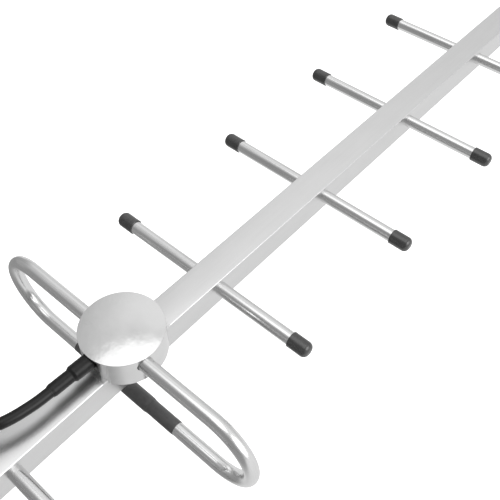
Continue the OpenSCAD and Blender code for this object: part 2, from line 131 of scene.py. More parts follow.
class Nodes:
    """A material's node tree, with one Principled shader."""

    def __init__(self, name):
        self.material = bpy.data.materials.new(name)
        self.material.use_nodes = True
        self.tree = self.material.node_tree
        self.shader = self.tree.nodes["Principled BSDF"]

    def add(self, kind, inputs=None, **settings):
        return add_node(self.tree, kind, inputs, **settings)

    def link(self, key, value):
        """Leads a value into one of the shader's sockets."""
        connect(self.tree, self.shader, key, value)

    def fix(self, key, value):
        """Sets a constant on one of the shader's sockets."""
        self.shader.inputs[key].default_value = value

    def flow(self, scale):
        """Coordinates along and round a piece, in millimetres, times a scale for each."""
        source = self.add("Attribute", attribute_name="flow").outputs["Vector"]
        return self.add("Mapping", {"Vector": source, "Scale": scale}).outputs["Vector"]

    def place(self, scale):
        """Coordinates of the object, in millimetres, times a scale for each."""
        source = self.add("TexCoord").outputs["Object"]
        scale = tuple(s / MM for s in scale)
        return self.add("Mapping", {"Vector": source, "Scale": scale}).outputs["Vector"]

    def noise(self, vector, scale=1.0, detail=2.0, roughness=0.5, distortion=0.0):
        return self.add("TexNoise", {
            "Vector": vector, "Scale": scale, "Detail": detail, "Roughness": roughness,
            "Distortion": distortion,
        }).outputs["Fac"]

    def spread(self, value, low_out, high_out, low_in=0.3, high_in=0.7):
        """A value that runs between two limits as a noise runs over its middle."""
        return self.add("MapRange", {
            "Value": value, "From Min": low_in, "From Max": high_in,
            "To Min": low_out, "To Max": high_out,
        }).outputs["Result"]

    def mix(self, amount, first, second):
        """The first colour where amount is 0, the second where it is 1."""
        return self.add("Mix", {0: amount, 6: first, 7: second}, data_type="RGBA").outputs[2]

    def math(self, operation, first, second):
        return self.add("Math", {0: first, 1: second}, operation=operation).outputs[0]

    def bump(self, height, strength, distance):
        return self.add("Bump", {
            "Height": height, "Strength": strength, "Distance": distance * MM,
        }).outputs["Normal"]


def grey(value, tint=(1.0, 1.0, 1.0)):
    """A grey as a colour with alpha, tinted."""
    return (value * tint[0], value * tint[1], value * tint[2], 1.0)


def metal(name, dark, light, rough, grain, tint=(1, 1, 1), coords="flow", relief=0.004):
    """Drawn or rolled metal: fine streaks along the piece over faint clouds.

    rough is the least and most roughness, grain the streaks' scale along and across."""
    n = Nodes(name)
    at = n.flow if coords == "flow" else n.place
    streaks = n.noise(at((grain[0], grain[1], grain[1])), detail=4, roughness=0.6)
    clouds = n.noise(at((0.05, 0.12, 0.12)), detail=3)
    speckle = n.noise(at((2.2, 2.2, 2.2)), detail=2)
    tone = n.math("ADD", n.math("MULTIPLY", streaks, 0.55), n.math("MULTIPLY", clouds, 0.45))
    n.link("Base Color", n.mix(
        n.spread(tone, 0, 1, 0.36, 0.64), grey(dark, tint), grey(light, tint)))
    n.link("Roughness", n.spread(
        n.math("ADD", n.math("MULTIPLY", streaks, 0.7), n.math("MULTIPLY", speckle, 0.3)),
        rough[0], rough[1]))
    n.link("Normal", n.bump(
        n.math("ADD", streaks, n.math("MULTIPLY", speckle, 0.4)), 0.35, relief))
    n.fix("Metallic", 1.0)
    return n.material


def polymer(name, dark, light, rough, mottle, relief, coords="flow", shine=0.5):
    """Moulded or shrunk plastic: faint mottling and a fine pebbled surface. shine is how strongly
    it reflects, 0.5 for a common plastic."""
    n = Nodes(name)
    at = n.flow if coords == "flow" else n.place
    patches = n.noise(at((mottle, mottle, mottle)), detail=3)
    pebbles = n.noise(at((4, 4, 4)), detail=2)
    n.link("Base Color", n.mix(n.spread(patches, 0, 1), grey(dark), grey(light)))
    n.link("Roughness", n.spread(
        n.math("ADD", n.math("MULTIPLY", patches, 0.6), n.math("MULTIPLY", pebbles, 0.4)),
        rough[0], rough[1]))
    n.link("Normal", n.bump(pebbles, 0.3, relief))
    n.fix("Specular IOR Level", shine)
    return n.material


def smooth_metal(name, tone, rough):
    """Finely turned metal: an even tone with faint clouds and a few short, thin scratches."""
    n = Nodes(name)
    clouds = n.noise(n.place((0.12, 0.12, 0.12)), detail=3)
    marks = n.noise(n.place((0.5, 5.0, 5.0)), detail=1, distortion=0.6)
    scratch = n.spread(marks, 0, 1, 0.76, 0.79)
    even = n.mix(n.spread(clouds, 0, 1), grey(tone - 0.015), grey(tone + 0.015))
    n.link("Base Color", n.mix(scratch, even, grey(tone - 0.16)))
    n.link("Roughness", n.spread(clouds, rough[0], rough[1]))
    n.link("Normal", n.bump(
        n.math("ADD", clouds, n.math("MULTIPLY", scratch, 0.015)), 0.5, 0.2))
    n.fix("Metallic", 1.0)
    return n.material


# Each metal's darkest and lightest tone, least and most roughness, and grain along and across.
SATIN = metal("satin_aluminium", 0.725, 0.76, (0.28, 0.35), (0.03, 1.6), relief=0.002)
SATIN_PLATE = metal("satin_plate", 0.74, 0.82, (0.3, 0.4), (3.0, 0.2), coords="object")
BRIGHT = metal("bright_aluminium", 0.74, 0.82, (0.17, 0.27), (0.05, 2.4), relief=0.003)
TURNED = smooth_metal("turned_aluminium", 0.77, (0.14, 0.2))
CAST = metal("cast_aluminium", 0.5, 0.62, (0.4, 0.55), (1.1, 1.1), coords="object", relief=0.03)
ZINC = metal("zinc_steel", 0.46, 0.6, (0.26, 0.42), (0.25, 2.0), (1, 1.0, 1.02))
ZINC_SHEET = metal("zinc_sheet", 0.46, 0.6, (0.26, 0.42), (0.3, 0.9), (1, 1.0, 1.02), "object")
NICKEL = metal("nickel", 0.5, 0.6, (0.14, 0.24), (0.3, 3.0), (1.0, 0.975, 0.93))
BRASS = metal("brass", 0.62, 0.74, (0.2, 0.32), (0.3, 2.0), (1.0, 0.8, 0.45), "object")
# Each plastic's darkest and lightest tone, least and most roughness, mottling and relief.
VINYL = polymer("black_vinyl", 0.03, 0.042, (0.22, 0.32), 0.4, 0.012, shine=1.0)
SHRINK = polymer("shrink_sleeve", 0.068, 0.085, (0.32, 0.44), 0.5, 0.015, shine=0.75)
SHRINK_BLACK = polymer("shrink_sleeve_black", 0.004, 0.009, (0.28, 0.4), 0.5, 0.015, shine=0.33)
JACKET = polymer("cable_jacket", 0.003, 0.006, (0.26, 0.36), 0.3, 0.006, "object", shine=0.36)
MOULDED = polymer("black_plastic", 0.015, 0.024, (0.42, 0.55), 0.5, 0.012, "object")
MOULDED_GREY = polymer("grey_plastic", 0.16, 0.2, (0.42, 0.55), 0.5, 0.012, "object")
PTFE = polymer("white_ptfe", 0.7, 0.78, (0.3, 0.4), 0.4, 0.005, "object")


# ---- Meshes from rows of points ----

def ring(radius, z, sides, turn=0.0):
    """A circle of points. radius is a number, or a function of the angle."""
    row = []
    for k in range(sides):
        angle = 2 * pi * k / sides + turn
        r = radius(angle) if callable(radius) else radius
        row.append(Vector((r * cos(angle), r * sin(angle), z)))
    return row


def hexagon(across_flats, limit=1.0):
    """A hexagon's radius at an angle. limit cuts its corners to that share of their own radius."""
    most = across_flats / 2 / cos(pi / 6) * limit
    return lambda angle: min(most, across_flats / 2 / cos((angle + pi / 6) % (pi / 3) - pi / 6))


def skin(rows, loop=False):
    """Vertices and faces of a closed surface over rows of points. loop joins the last row to the
    first; otherwise each end is closed with one face."""
    n = len(rows[0])
    vertices = [p for row in rows for p in row]
    faces = []
    for i in range(len(rows) if loop else len(rows) - 1):
        a, b = i * n, (i + 1) % len(rows) * n
        faces += [(a + k, a + (k + 1) % n, b + (k + 1) % n, b + k) for k in range(n)]
    if not loop:
        faces += [tuple(range(n))[::-1], tuple(range((len(rows) - 1) * n, len(rows) * n))]
    return vertices, faces


def fillet(points, radius, steps=3, closed=True):
    """An outline with its corners rounded. radius is one number, or one for each corner."""
    radii = radius if isinstance(radius, (list, tuple)) else [radius] * len(points)
    out = []
    for i, p in enumerate(points):
        r = radii[i]
        if r == 0 or (not closed and i in (0, len(points) - 1)):
            out.append(Vector(p))
            continue
        p = Vector(p)
        before = (Vector(points[i - 1]) - p).normalized()
        after = (Vector(points[(i + 1) % len(points)]) - p).normalized()
        half = acos(max(-1.0, min(1.0, before.dot(after)))) / 2
        if half > 0.49 * pi:
            out.append(p)
            continue
        centre = p + (before + after).normalized() * (r / sin(half))
        start = p + before * (r / (sin(half) / cos(half))) - centre
        stop = p + after * (r / (sin(half) / cos(half))) - centre
        for k in range(steps + 1):
            out.append(centre + start.slerp(stop, k / steps).normalized() * r)
    return out


def lathe(profile, sides=64, loop=False):
    """A surface of revolution round Z from (radius, z) points, in millimetres."""
    return skin([ring(max(p[0] * MM, 1e-6), p[1] * MM, sides) for p in profile], loop)


def turned(shape, origin, direction):
    """Moves a shape that is drawn along Z so that it starts at origin and runs along direction."""
    vertices, faces = shape
    z = Vector(direction).normalized()
    x = Vector((0, 1, 0)) if abs(z.x) > 0.9 else Vector((1, 0, 0))
    x = (x - z * x.dot(z)).normalized()
    turn = Matrix((x, z.cross(x), z)).transposed()
    return [turn @ v + Vector(origin) for v in vertices], faces


def joined(*shapes):
    """Several shapes as one."""
    vertices, faces = [], []
    for v, f in shapes:
        faces += [tuple(i + len(vertices) for i in face) for face in f]
        vertices += v
    return vertices, faces


def piece(name, shape, material, body, nodes=(), flow=None, sharp=32):
    """A shown mesh that rides on a body, stands for CAD nodes and has flow coordinates.

    flow gives a point's place along, across and out of the piece, in metres."""
    vertices, faces = shape
    mesh = bpy.data.meshes.new(name)
    mesh.from_pydata([tuple(v) for v in vertices], [], faces)
    tidy_mesh(mesh)
    write_flow(mesh, flow)
    mesh.shade_smooth()
    mesh.set_sharp_from_angle(angle=radians(sharp))
    made = bpy.data.objects.new(name, mesh)
    bpy.context.scene.collection.objects.link(made)
    mesh.materials.append(material)
    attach(made, body)
    if nodes:
        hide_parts(*nodes)
    return made


def tidy_mesh(mesh):
    """Joins points that lie on each other and turns every face outwards."""
    work = bmesh.new()
    work.from_mesh(mesh)
    bmesh.ops.remove_doubles(work, verts=work.verts, dist=2e-7)
    bmesh.ops.recalc_face_normals(work, faces=work.faces)
    work.to_mesh(mesh)
    work.free()


def write_flow(mesh, flow):
    """Stores each point's flow coordinates, in millimetres, for the materials."""
    points = [v.co.copy() for v in mesh.vertices]
    values = np.array([flow(p) if flow else p for p in points], np.float32) / MM
    mesh.attributes.new("flow", "FLOAT_VECTOR", "POINT").data.foreach_set("vector", values.ravel())


def sweep(line, section, sides=32, up=(0, 1, 0)):
    """Rows of points round a line. section(i, angle) gives the radius at a point of the line."""
    rows = []
    last = len(line) - 1
    for i, p in enumerate(line):
        t = (line[min(i + 1, last)] - line[max(i - 1, 0)]).normalized()
        side = Vector(up)
        side = (side - t * side.dot(t)).normalized()
        out = t.cross(side)
        row = []
        for k in range(sides):
            a = 2 * pi * k / sides
            r = section(i, a)
            row.append(p + side * (r * cos(a)) + out * (r * sin(a)))
        rows.append(row)
    return rows


def along_line(line):
    """A flow function for a piece on a line: the distance along it, and the place across it."""
    steps = [0.0]
    for a, b in zip(line, line[1:]):
        steps.append(steps[-1] + (b - a).length)
    pts = np.array([tuple(p) for p in line])

    def flow(p):
        i = int(((pts - np.array(tuple(p))) ** 2).sum(1).argmin())
        t = (line[min(i + 1, len(line) - 1)] - line[max(i - 1, 0)]).normalized()
        d = p - line[i]
        across = d - t * d.dot(t)
        side = Vector((0, 1, 0)) if abs(t.y) < 0.7 else Vector((0, 0, 1))
        side = (side - t * side.dot(t)).normalized()
        return (steps[i] + d.dot(t), across.dot(side), across.dot(t.cross(side)))

    return flow


def axis_flow(direction):
    """A flow function along X, Y or Z."""
    order = {"x": (0, 1, 2), "y": (1, 0, 2), "z": (2, 0, 1)}[direction]
    return lambda p: (p[order[0]], p[order[1]], p[order[2]])


def round_flow(centre, direction):
    """A flow function whose streaks run round an axis, as turning leaves them."""
    z = Vector(direction).normalized()
    centre = Vector(centre)

    def flow(p):
        d = p - centre
        height = d.dot(z)
        r = (d - z * height).length
        return (0.0, r, height)

    return flow


# ---- The coaxial tail ----

# The cable's route, in millimetres, as in the CAD model.
CABLE_ROUTE = [
    (-0.75, 181, 15.5), (-0.81, 175.4, 15.77), (-0.9, 166.4, 16.21), (-1, 156.4, 16.7),
    (-1.15, 150.9, 17), (-1.75, 145.4, 17.3), (-2.75, 140, 17.5), (-4.5, 134.6, 17.6),
    (-7.1, 129.2, 17.4), (-10.3, 123.8, 16.8), (-13.9, 118.4, 15.6), (-17.4, 113.2, 13.6),
    (-20.7, 108.2, 10.8), (-23.7, 103.6, 7), (-26.3, 99.4, 2.2), (-28.3, 95.7, -3.5),
    (-29.5, 92.6, -10.2), (-30.2, 90.1, -17.5), (-30.5, 88.2, -25), (-30.6, 86.8, -33),
    (-30.6, 85.9, -42), (-30.6, 85.4, -52), (-30.6, 85.1, -63), (-30.6, 85, -75),
    (-30.6, 85, -88), (-30.6, 85, -102), (-30.6, 85, -116), (-30.6, 85, -130),
    (-30.6, 85, -145), (-30.6, 85, -160),
]
CABLE_DIAMETER = 4.95 * MM


def make_cable():
    curve = bpy.data.curves.new("feed_cable_jacket", "CURVE")
    curve.dimensions = "3D"
    spline = curve.splines.new("BEZIER")
    spline.bezier_points.add(len(CABLE_ROUTE) - 1)
    for point, place in zip(spline.bezier_points, CABLE_ROUTE):
        point.co = Vector(place) * MM
        point.handle_left_type = point.handle_right_type = "AUTO"
    spline.resolution_u = 6
    curve.bevel_depth = CABLE_DIAMETER / 2
    curve.bevel_resolution = 10
    curve.use_fill_caps = True
    cable = bpy.data.objects.new("feed_cable_jacket", curve)
    bpy.context.scene.collection.objects.link(cable)
    curve.materials.append(JACKET)
    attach(cable, "antenna")
    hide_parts("feed_cable")
    return cable


CABLE = make_cable()


def cable_line(start, stop, step=0.25):
    """Points along the cable between two distances from its start, in millimetres."""
    route = [Vector(p) for p in CABLE_ROUTE]
    ends = np.cumsum([0.0] + [(b - a).length for a, b in zip(route, route[1:])])
    line = []
    for s in np.arange(start, stop + step / 2, step):
        line.append(Vector([np.interp(s, ends, [p[k] for p in route]) for k in range(3)]) * MM)
    return line


def shrink_profile(length, outer, inner, shoulder, lip=0.35):
    """Radius of a shrunk sleeve along its length: thin lips, then shoulders up to its full size."""
    def radius(s):
        edge = min(s, length - s)
        rise = 0.5 - 0.5 * cos(pi * min(1.0, max(0.0, edge / shoulder)))
        return inner + lip + (outer - inner - lip) * rise
    return radius


def sleeve(name, line, outer, inner, shoulder, lip, nodes, seed, wrinkle=0.05, up=(0, 0, 1),
           material=SHRINK):
    """A heat-shrunk sleeve on a line, wrinkled a little, open at both ends."""
    step = (line[1] - line[0]).length / MM
    length = step * (len(line) - 1)
    shape = shrink_profile(length, outer, inner, shoulder, lip)

    def section(i, angle):
        s = i * step
        rough = noise.noise(Vector((s * 0.35, 2.2 * cos(angle), 2.2 * sin(angle) + seed)))
        fine = noise.noise(Vector((s * 1.3, 3 * cos(angle) + seed, 3 * sin(angle))))
        return (shape(s) + wrinkle * (rough + 0.4 * fine)) * MM

    outside = sweep(line, section, 48, up)
    inside = sweep(line, lambda i, a: inner * MM, 48, up)
    return piece(name, skin(outside + inside[::-1], loop=True), material, "antenna", nodes,
                 along_line(line), sharp=50)


def make_cable_sleeves():
    """The thick sleeve at the notch and the thin one behind it."""
    r = CABLE_DIAMETER / 2 / MM
    thick = sleeve("cable_sleeve_thick_shrunk", cable_line(2.5, 14.2), 3.65, r, 1.7, 0.4,
                   ["cable_sleeve_thick"], 3.0, 0.07, material=SHRINK_BLACK)
    thin = sleeve("cable_sleeve_thin_shrunk", cable_line(13, 24.2), 2.95, r, 1.4, 0.2,
                  ["cable_sleeve_thin"], 7.0, 0.05, material=SHRINK_BLACK)
    return [thick, thin]


# ---- Threads, nuts and bolts ----

def thread_rows(radius, start, stop, pitch=1.0, depth=0.55, sides=32, runout=1.2):
    """Rows of a helical thread along Z between two heights, all in millimetres. Its grooves fade
    in over runout at the start, and its tip has a bevel."""
    rows = []
    rows_per_pitch, bevel = 6, 0.7
    steps = int(round((stop - start) / (pitch / rows_per_pitch)))
    for i in range(steps + 1):
        z = start + (stop - start) * i / steps
        fade = min(1.0, (z - start) / runout)
        tip = max(0.0, 1 - (stop - z) / bevel) * bevel

        def section(angle, z=z, fade=fade, tip=tip):
            wave = abs(((z / pitch - angle / (2 * pi)) % 1.0) * 2 - 1)
            return (min(radius - depth * fade * min(1.0, wave * 1.15), radius - tip)) * MM
        rows.append(ring(section, z * MM, sides))
    return rows


def hex_rows(af, bottom, top, sides=96, bevel_bottom=True, bevel_top=True):
    """Rows of a hexagon's outside with its corners bevelled, in millimetres."""
    full = hexagon(af * MM)
    corner = af / 2 / cos(pi / 6)
    face, cut_from, fall = af / 2 * 0.96, af / 2 * 0.98, 0.5

    def bevel(end, inward):
        """The flat end face's edge, then three rows that widen to the full hexagon."""
        rows = [ring(face * MM, end * MM, sides)]
        for share in (0.0, 0.5, 1.0):
            limit = (cut_from + (corner - cut_from) * share) * MM
            height = (end + inward * fall * share) * MM
            rows.append(ring(lambda a, m=limit: min(full(a), m), height, sides))
        return rows

    below = bevel(bottom, 1) if bevel_bottom else [ring(full, bottom * MM, sides)]
    above = bevel(top, -1) if bevel_top else [ring(full, top * MM, sides)]
    return below + above[::-1]


def nut_shape(af, bore, height):
    """A nut along Z from z = 0, with a countersunk hole."""
    rows = hex_rows(af, 0, height)
    sides = len(rows[0])
    wider, deep = bore + 0.35, 0.45
    inside = [(wider, height), (bore, height - deep), (bore, deep), (wider, 0)]
    rows += [ring(r * MM, z * MM, sides) for r, z in inside]
    return skin(rows, loop=True)


def bolt_shape(af, radius, head, shank, thread_from):
    """A hexagon bolt: head below z = 0, shank above it, threaded from a height to its tip."""
    head_rows = hex_rows(af, -head, 0, bevel_top=False)
    sides = len(head_rows[0])
    neck = [ring(radius * MM, z * MM, sides) for z in (0, thread_from)]
    thread = thread_rows(radius, thread_from, shank, sides=sides)
    return skin(head_rows + neck + thread)


def washer_shape(outer, inner, thickness):
    """A washer along Z from z = 0, with rounded edges."""
    profile = fillet([(inner, 0), (outer, 0), (outer, thickness), (inner, thickness)], 0.2)
    return lathe(profile, 64, loop=True)


# ---- Boom and rods ----

ROD_R = size("director_1_rod").y / 2 / MM
ROD_SIDES = 48
# The boom's wall, in millimetres.
BOOM_WALL = 1.5


def square_row(width, radius, place, steps=5):
    """Outline of a square with rounded corners. place turns (x, z) into a point."""
    h = width / 2
    corners = [(-h, -h), (h, -h), (h, h), (-h, h)]
    return [place(p[0] * MM, p[1] * MM) for p in fillet(corners, radius, steps)]


def make_boom():
    start, stop = low("boom").y, high("boom").y
    width = size("boom").x / MM
    bore, bevel = width - 2 * BOOM_WALL, 0.2
    bore_r, bevel_r, corner_r = 0.3, 0.45, 0.55

    def row(w, r, y):
        return square_row(w, r, lambda x, z: Vector((x, y, z)))

    rows = [
        row(bore, bore_r, start), row(width - 2 * bevel, bevel_r, start),
        row(width, corner_r, start + bevel * MM), row(width, corner_r, stop - bevel * MM),
        row(width - 2 * bevel, bevel_r, stop), row(bore, bore_r, stop),
    ]
    piece("boom_tube", skin(rows, loop=True), SATIN, "antenna", ["boom"],
          axis_flow("y"))


def make_plug(name, flange_y, inward):
    """Moulded plug: a crowned flange and a ribbed spigot into the boom."""
    width = size("boom").x / MM
    inner = width - 2 * BOOM_WALL - 0.1
    flange = 2.0
    spigot = size(name).y / MM - flange

    def row(w, r, depth):
        return square_row(w, r, lambda x, z: Vector((x, flange_y + inward * depth * MM, z)))

    rows = [row(width - 2 * BOOM_WALL, 1.0, 0), row(width - 0.9, 1.2, 0.1), row(width, 1.0, 0.6),
            row(width, 0.8, flange), row(inner, 0.5, flange)]
    for depth in np.arange(flange + 1, flange + spigot - 0.5, 2.0):
        rows += [row(inner, 0.5, depth), row(inner - 0.5, 0.5, depth + 0.4),
                 row(inner - 0.5, 0.5, depth + 1.2), row(inner, 0.5, depth + 1.6)]
    rows += [row(inner - 1, 0.5, flange + spigot)]
    piece(name + "_moulding", skin(rows), MOULDED, "antenna", [name])


def rod_shape(length, radius, seed, wall=1.0):
    """A drawn tube along X, centred on the origin, very slightly uneven."""
    angles = np.arange(ROD_SIDES) * 2 * pi / ROD_SIDES
    stations = np.linspace(-length / 2, length / 2, max(12, int(length / 6)))

    def outer(x, angle):
        return radius * MM * (1 + 0.0016 * noise.noise(Vector((x * 0.06, cos(angle), seed))))

    def row(x, radius_at):
        return [Vector((x * MM, radius_at(x, a) * cos(a), radius_at(x, a) * sin(a))) for a in angles]

    rows = [row(x, outer) for x in stations]
    rows += [row(x, lambda x, a: (radius - wall) * MM) for x in (stations[-1], stations[0])]
    return skin(rows, loop=True)


def make_rod(name, seed):
    """A rod through the boom: a thin tube, open at its ends."""
    node = name + "_rod"
    vertices, faces = rod_shape(size(node).x / MM, size(node).y / 2 / MM, seed)
    centre = middle(node)
    vertices = [v + centre for v in vertices]
    piece(name + "_tube", (vertices, faces), BRIGHT, "antenna", [node],
          lambda p: (p.x, p.y - centre.y, p.z - centre.z))


def make_caps(name, seed):
    """Soft caps on a rod's ends: a rounded lip at the mouth, a faint waist and a domed end."""
    node = name + "_caps"
    radius = size(node).y / 2 / MM
    length, bore, end = 10.5, ROD_R, 1.2
    lip_r, dome_r = 0.25, 2.6
    outline = fillet([
        (bore, 0), (radius - 0.02, 0), (radius - 0.08, 1.2), (radius - 0.06, length - 3),
        (radius - 0.1, length), (0, length),
    ], [0, lip_r, 0, 0, dome_r, 0], 8, closed=False)
    inside = [(0, length - end), (bore, length - end), (bore, 0)]
    profile = [(p[0], p[1]) for p in outline[1:]] + inside
    shape = lathe(profile, ROD_SIDES, loop=True)
    centre = middle(node)
    both = []
    for side in (-1, 1):
        tip = centre + Vector((side * (size(node).x / 2 - length * MM), 0, 0))
        both.append(turned(shape, tip, (side, 0, 0)))
    piece(name + "_tip_caps", joined(*both), VINYL, "antenna", [node],
          lambda p: (p.x + seed * 0.01, p.y - centre.y, p.z - centre.z), sharp=40)


# ---- Folded dipole ----

# Where the flattened tongue of each half starts and ends, and from where the rod is round again.
TONGUE_IN, TONGUE_OUT, ROUND_FROM = 2.5, 9.5, 12.5
TONGUE_HALF_WIDTH, TONGUE_HALF_HEIGHT = 3.8, 1.2
# The top of the insulator, on which the tongues lie.
DECK_Z = 12.6


def dipole_half(side):
    """Half of the loop, from its flattened tongue to its joint under the boom."""
    node = "dipole_half_right" if side > 0 else "dipole_half_left"
    box_low, box_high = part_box(node)
    y = middle(node).y
    r = ROD_R * MM
    upper, lower = box_high.z - r, box_low.z + r
    bend = (upper - lower) / 2
    straight = max(abs(box_low.x), abs(box_high.x)) - r - bend
    line = [Vector((x, y, upper)) for x in np.linspace(ROUND_FROM * MM, straight, 12)]
    bent = 48
    for k in range(1, bent):
        a = pi * k / bent
        line.append(Vector((straight + bend * sin(a), y, upper - bend + bend * cos(a))))
    line += [Vector((x, y, lower)) for x in np.linspace(straight, 0, 14)]
    first_bend, last_bend = 12, 12 + bent - 2

    def section(i, angle):
        """Round, but a little flatter in the bend, where the wall was drawn round."""
        into = min(1.0, max(0.0, min(i - first_bend + 3, last_bend - i + 3) / 8))
        flat = 1 - 0.045 * into * sin(angle) ** 2 + 0.02 * into * cos(angle) ** 2
        return r * flat * (1 + 0.0015 * noise.noise(Vector((i * 0.3, cos(angle), side))))

    rows = sweep(line, section, ROD_SIDES)
    tongue_z = DECK_Z * MM + TONGUE_HALF_HEIGHT * MM
    tongue = []
    # Each row's place and how flat it is, from the tongue's end to where the rod is nearly round.
    for x, blend in ((TONGUE_IN, 1.0), (TONGUE_OUT, 1.0), (10.3, 0.8), (11.4, 0.3)):
        row = []
        for k in range(ROD_SIDES):
            a = 2 * pi * k / ROD_SIDES
            c, s = cos(a), sin(a)
            box_r = 1 / max(abs(c) / TONGUE_HALF_WIDTH, abs(s) / TONGUE_HALF_HEIGHT)
            flat_y, flat_z = c * box_r * MM, s * box_r * MM
            row.append(Vector((x * MM, y + c * r * (1 - blend) + flat_y * blend,
                               (upper + s * r) * (1 - blend) + (tongue_z + flat_z) * blend)))
        tongue.append(row)
    # The swept rows start at +Y and turn the same way as the tongue's rows.
    rows = tongue + rows
    vertices, faces = skin(rows)
    if side < 0:
        vertices = [Vector((-v.x, v.y, v.z)) for v in vertices]
        line = [Vector((-p.x, p.y, p.z)) for p in line]
    piece(node + "_rod", (vertices, faces), BRIGHT, "antenna", [node],
          along_line(line), sharp=40)


def make_run_sleeves():
    """The long thin sleeve over the joint of the lower run and the short thick one over it."""
    y, z = middle("joint_sleeve_long").y, middle("joint_sleeve_long").z

    def line(node, step=0.4):
        start, stop = low(node).x / MM, high(node).x / MM
        count = int(round((stop - start) / step))
        return [Vector((start + (stop - start) * i / count, 0, 0)) * MM + Vector((0, y, z))
                for i in range(count + 1)]

    sleeve("joint_sleeve_long_shrunk", line("joint_sleeve_long"),
           size("joint_sleeve_long").z / 2 / MM, ROD_R, 0.5, 0.08,
           ["joint_sleeve_long"], 11.0, 0.03, up=(0, 1, 0))
    sleeve("joint_sleeve_short_shrunk", line("joint_sleeve_short"),
           size("joint_sleeve_short").z / 2 / MM, ROD_R + 0.15, 1.4, 0.15,
           ["joint_sleeve_short"], 17.0, 0.04, up=(0, 1, 0))


# ---- Feed box ----

def block(lowest, highest):
    """The shape of a plain block, used only to cut with."""
    x0, y0, z0 = lowest
    x1, y1, z1 = highest
    corners = ((x0, y0), (x1, y0), (x1, y1), (x0, y1))
    return skin([[Vector((x, y, z)) * MM for x, y in corners] for z in (z0, z1)])


def cut_mesh(shape, cuts, bevel, angle=35):
    """A shape with others cut out of it and its edges bevelled, as vertices and faces."""
    def stand_in(vertices, faces):
        mesh = bpy.data.meshes.new("work")
        mesh.from_pydata([tuple(v) for v in vertices], [], faces)
        tidy_mesh(mesh)
        made = bpy.data.objects.new("work", mesh)
        bpy.context.scene.collection.objects.link(made)
        return made

    work = stand_in(*shape)
    cutters = [stand_in(*cut) for cut in cuts]
    for cutter in cutters:
        cut = work.modifiers.new("cut", "BOOLEAN")
        cut.operation, cut.object, cut.solver = "DIFFERENCE", cutter, "EXACT"
    rounding = work.modifiers.new("edges", "BEVEL")
    rounding.width, rounding.segments = bevel * MM, 2
    rounding.limit_method, rounding.angle_limit = "ANGLE", radians(angle)
    seen = work.evaluated_get(bpy.context.evaluated_depsgraph_get()).to_mesh()
    result = [v.co.copy() for v in seen.vertices], [tuple(p.vertices) for p in seen.polygons]
    for o in (work, *cutters):
        data = o.data
        bpy.data.objects.remove(o)
        bpy.data.meshes.remove(data)
    return result


# The cover's wall and lid, and how far the lid's middle stands above its rim.
COVER_WALL, COVER_LID, COVER_CROWN = 1.2, 0.8, 1.2
# The cable's notch across the wall, how much larger than the rod's radius the dipole's holes are,
# and how far back and down they are shifted.
NOTCH_LEFT, NOTCH_RIGHT = -6, 4.8
HOLE_PLAY, HOLE_SHIFT = 0.2, 0.1


def make_feed_cover():
    """Turned cup with a faintly crowned lid, cut out for the boom, the dipole and the cable."""
    centre = middle("feed_cover")
    r = size("feed_cover").x / 2 / MM
    bottom, top = low("feed_cover").z / MM, high("feed_cover").z / MM
    under = top - COVER_LID
    steps = 16
    crown = [(r * k / steps, top + COVER_CROWN * (1 - (k / steps) ** 2)) for k in range(steps)]
    outline = fillet([
        *crown, (r, top), (r, bottom), (r - COVER_WALL, bottom), (r - COVER_WALL, under), (0, under),
    ], [0] * steps + [0.16, 0.12, 0.12, 0.3, 0], 4, closed=False)
    vertices, faces = lathe(outline, 144)
    axis = Vector((0, centre.y, 0))
    y = centre.y / MM
    boom = size("boom").x / 2 / MM
    reach = 30
    hole_start = Vector((-reach * MM, middle("dipole_half_right").y - HOLE_SHIFT * MM,
                         high("dipole_half_right").z - (ROD_R + HOLE_SHIFT) * MM))
    hole_r = ROD_R + HOLE_PLAY
    bore = [(0, 0), (hole_r, 0), (hole_r, 2 * reach), (0, 2 * reach)]
    cut = cut_mesh(([v + axis for v in vertices], faces), [
        block((-boom - 0.1, y - reach, bottom - 2), (boom + 0.1, y + reach, boom + 0.6)),
        turned(lathe(bore, 72), hole_start, (1, 0, 0)),
        block((NOTCH_LEFT, y - reach, bottom - 2), (NOTCH_RIGHT, y, under - 0.02)),
    ], 0.1)
    cup = piece("feed_cover_cup", cut, TURNED, "antenna", ["feed_cover"],
                lambda p: (p.x, p.y, p.z), sharp=30)
    true_normals(cup.data, axis, r * MM, top * MM)


def true_normals(mesh, axis, r, top):
    """Gives the turned wall and lid the exact normals of a cylinder and of a crown, so that the
    cuts leave no marks in the shading."""
    normals = [Vector(c.vector) for c in mesh.corner_normals]
    for face in mesh.polygons:
        for i in face.loop_indices:
            p = mesh.vertices[mesh.loops[i].vertex_index].co - axis
            out = Vector((p.x, p.y, 0))
            if abs(face.normal.z) < 0.02 and out.length > r * 0.9985:
                normals[i] = out.normalized()
            elif face.normal.z > 0.9 and p.z > top - 2e-6:
                normals[i] = (out * (2 * COVER_CROWN * MM / r ** 2) + Vector((0, 0, 1))).normalized()
    mesh.normals_split_custom_set(normals)


# ---- Mast clamp ----

# Sizes of the 6 mm bolts, their nuts and washers, in millimetres.
BOLT_R, BOLT_HEAD, BOLT_THREAD = 3.0, 4, 17
NUT_AF, NUT_PLAY = 10.0, 0.05
WASHER_R, WASHER_THICK, U_BOLT_WASHER_PLAY = 6, 1.2, 0.3
# Lifts the shown wing nut off its washer, so that they don't share a face.
WING_NUT_LIFT = 0.05


